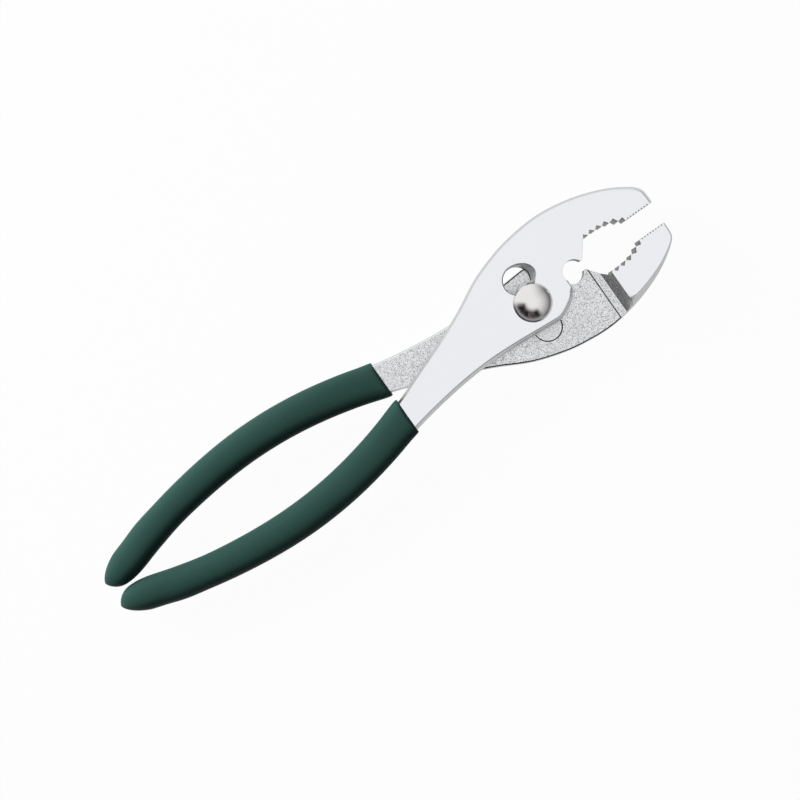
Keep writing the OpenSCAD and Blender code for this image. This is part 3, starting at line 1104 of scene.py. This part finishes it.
# %% Rise and bearing
world = bpy.data.worlds.new("white_surround")
bpy.context.scene.world = world
world.use_nodes = True
world.node_tree.nodes.clear()
tree = world.node_tree
way = add_node(tree, "ShaderNodeTexCoord").outputs["Generated"]
rise = add_node(tree, "ShaderNodeSeparateXYZ", links={"Vector": way})
flat_way = add_node(
    tree, "ShaderNodeVectorMath", settings={"operation": "MULTIPLY"},
    sockets={1: (1, 1, 0)}, links={0: way},
)
bearing = add_node(
    tree, "ShaderNodeVectorMath", settings={"operation": "NORMALIZE"},
    links={0: flat_way.outputs["Vector"]},
)
print("the surround starts with", len(tree.nodes), "nodes")

# %% [markdown]
# Each side of the surround has a bearing and a rise. The share of its colour is full along its
# bearing and low down, and fades to the sides and to the top, where all is white.

# %% Grey side of the surround
GREY_TURN = 0

grey_side = add_node(
    tree, "ShaderNodeVectorMath", settings={"operation": "DOT_PRODUCT"},
    sockets={1: picture_way(GREY_TURN, 0)}, links={0: bearing.outputs["Vector"]},
)
grey_wide = add_node(
    tree, "ShaderNodeMapRange", settings={"interpolation_type": "SMOOTHSTEP"},
    sockets={"From Min": -0.1, "From Max": 0.8}, links={"Value": grey_side.outputs["Value"]},
)
grey_low = add_node(
    tree, "ShaderNodeMapRange",
    sockets={"From Min": 0.0, "From Max": 0.96, "To Min": 1.0, "To Max": 0.0},
    links={"Value": rise.outputs["Z"]},
)
grey_share = add_node(
    tree, "ShaderNodeMath", settings={"operation": "MULTIPLY"},
    links={0: grey_wide.outputs["Result"], 1: grey_low.outputs["Result"]},
)
walls = add_node(
    tree, "ShaderNodeMix", settings={"data_type": "RGBA"},
    sockets={MIX_FIRST: linear("#FFFFFF"), MIX_SECOND: linear("#4C4C50")},
    links={MIX_SHARE: grey_share.outputs["Value"]},
)
print("the grey side is at", [round(c, 2) for c in picture_way(GREY_TURN, 0)])

# %% [markdown]
# The dark side is a dim room, with lighter things in it here and there, and it is lighter again
# near the floor, where the sheet throws light back. So the steel isn't black from low down.

# %% Dark side of the surround
DARK_TURN = 246

dark_side = add_node(
    tree, "ShaderNodeVectorMath", settings={"operation": "DOT_PRODUCT"},
    sockets={1: picture_way(DARK_TURN, 0)}, links={0: bearing.outputs["Vector"]},
)
dark_wide = add_node(
    tree, "ShaderNodeMapRange", settings={"interpolation_type": "SMOOTHSTEP"},
    sockets={"From Min": 0.25, "From Max": 0.65}, links={"Value": dark_side.outputs["Value"]},
)
dark_low = add_node(
    tree, "ShaderNodeMapRange", settings={"interpolation_type": "SMOOTHSTEP"},
    sockets={"From Min": 0.72, "From Max": 0.95, "To Min": 1.0, "To Max": 0.0},
    links={"Value": rise.outputs["Z"]},
)
dark_share = add_node(
    tree, "ShaderNodeMath", settings={"operation": "MULTIPLY"},
    links={0: dark_wide.outputs["Result"], 1: dark_low.outputs["Result"]},
)
clutter = add_node(
    tree, "ShaderNodeTexNoise",
    sockets={"Scale": 3.2, "Detail": 2.0}, links={"Vector": way},
)
clutter_share = add_node(
    tree, "ShaderNodeMapRange",
    sockets={"From Min": 0.45, "From Max": 0.75}, links={"Value": clutter.outputs["Fac"]},
)
dim_room = add_node(
    tree, "ShaderNodeMix", settings={"data_type": "RGBA"},
    sockets={MIX_FIRST: linear("#1F1C1D"), MIX_SECOND: linear("#85797A")},
    links={MIX_SHARE: clutter_share.outputs["Result"]},
)
near_floor = add_node(
    tree, "ShaderNodeMapRange", settings={"interpolation_type": "SMOOTHSTEP"},
    sockets={"From Min": 0.16, "From Max": 0.4, "To Min": 0.9, "To Max": 0.0},
    links={"Value": rise.outputs["Z"]},
)
dark_room = add_node(
    tree, "ShaderNodeMix", settings={"data_type": "RGBA"},
    sockets={MIX_SECOND: linear("#A3A2A3")},
    links={MIX_SHARE: near_floor.outputs["Result"], MIX_FIRST: dim_room.outputs[MIX_COLOUR]},
)
room = add_node(
    tree, "ShaderNodeMix", settings={"data_type": "RGBA"},
    links={
        MIX_SHARE: dark_share.outputs["Value"],
        MIX_FIRST: walls.outputs[MIX_COLOUR],
        MIX_SECOND: dark_room.outputs[MIX_COLOUR],
    },
)
print("the dark side is at", [round(c, 2) for c in picture_way(DARK_TURN, 0)])

# %% [markdown]
# The camera sees a plain white behind the tool, and only reflections see the painted sides.
# Light on matt surfaces gets a small share of the level, so that the lamp shapes them.

# %% Levels of the surround
path = add_node(tree, "ShaderNodeLightPath").outputs
seen = add_node(
    tree, "ShaderNodeMath", settings={"operation": "MAXIMUM"},
    links={0: path["Is Camera Ray"], 1: path["Is Transmission Ray"]},
)
shown = add_node(
    tree, "ShaderNodeMix", settings={"data_type": "RGBA"},
    sockets={MIX_SECOND: linear("#FFFFFF")},
    links={MIX_SHARE: seen.outputs["Value"], MIX_FIRST: room.outputs[MIX_COLOUR]},
)
bright = add_node(
    tree, "ShaderNodeMath", settings={"operation": "MAXIMUM"},
    links={0: seen.outputs["Value"], 1: path["Is Glossy Ray"]},
)
level = add_node(
    tree, "ShaderNodeMapRange",
    sockets={"To Min": 0.12, "To Max": 1.0}, links={"Value": bright.outputs["Value"]},
)
sky = add_node(
    tree, "ShaderNodeBackground",
    links={"Color": shown.outputs[MIX_COLOUR], "Strength": level.outputs["Result"]},
)
add_node(tree, "ShaderNodeOutputWorld", links={"Surface": sky.outputs["Background"]})
print("surround:", world.name)

# %% [markdown]
# One wide lamp stands to the left. Reflections don't show it, because a photographer would hide
# it behind a white sheet.

# %% Lamp
LAMP_TURN = 155
LAMP_RISE = 28
LAMP_FAR = 1.0

lamp_data = bpy.data.lights.new("wide_lamp", "AREA")
lamp_data.shape = "DISK"
lamp_data.size = 0.5
lamp_data.energy = 13.3
lamp = bpy.data.objects.new("wide_lamp", lamp_data)
bpy.context.scene.collection.objects.link(lamp)
lamp.location = CENTRE + picture_way(LAMP_TURN, LAMP_RISE) * LAMP_FAR
lamp.rotation_euler = (CENTRE - lamp.location).to_track_quat("-Z", "Y").to_euler()
lamp.visible_glossy = False
print("lamp:", lamp_data.energy, "W")

# %% [markdown]
# ## Camera
#
# The tool lies flat and the camera looks straight down, turned so that the jaws point up to the
# right. Its height sets the perspective, and its lens then sets the size in the picture.

# %% Camera
CAMERA_RISE = 0.480
VIEW_WIDTH = 0.2408
SENSOR = 36.0

camera_data = bpy.data.cameras.new("overhead_camera")
camera_data.sensor_width = SENSOR
camera_data.lens = SENSOR * CAMERA_RISE / VIEW_WIDTH
camera = bpy.data.objects.new("overhead_camera", camera_data)
bpy.context.scene.collection.objects.link(camera)
camera.location = CENTRE + Vector((0, 0, FACE_Z * MM + CAMERA_RISE))
camera.rotation_euler = (0, 0, -PICTURE_TURN)
bpy.context.scene.camera = camera
bpy.context.scene.view_settings.view_transform = "Standard"
print("lens:", round(camera_data.lens, 1), "mm")

# %% [markdown]
#
# The dressed tool has to stay as large as the CAD model.

# %% Finish
bpy.context.view_layer.update()
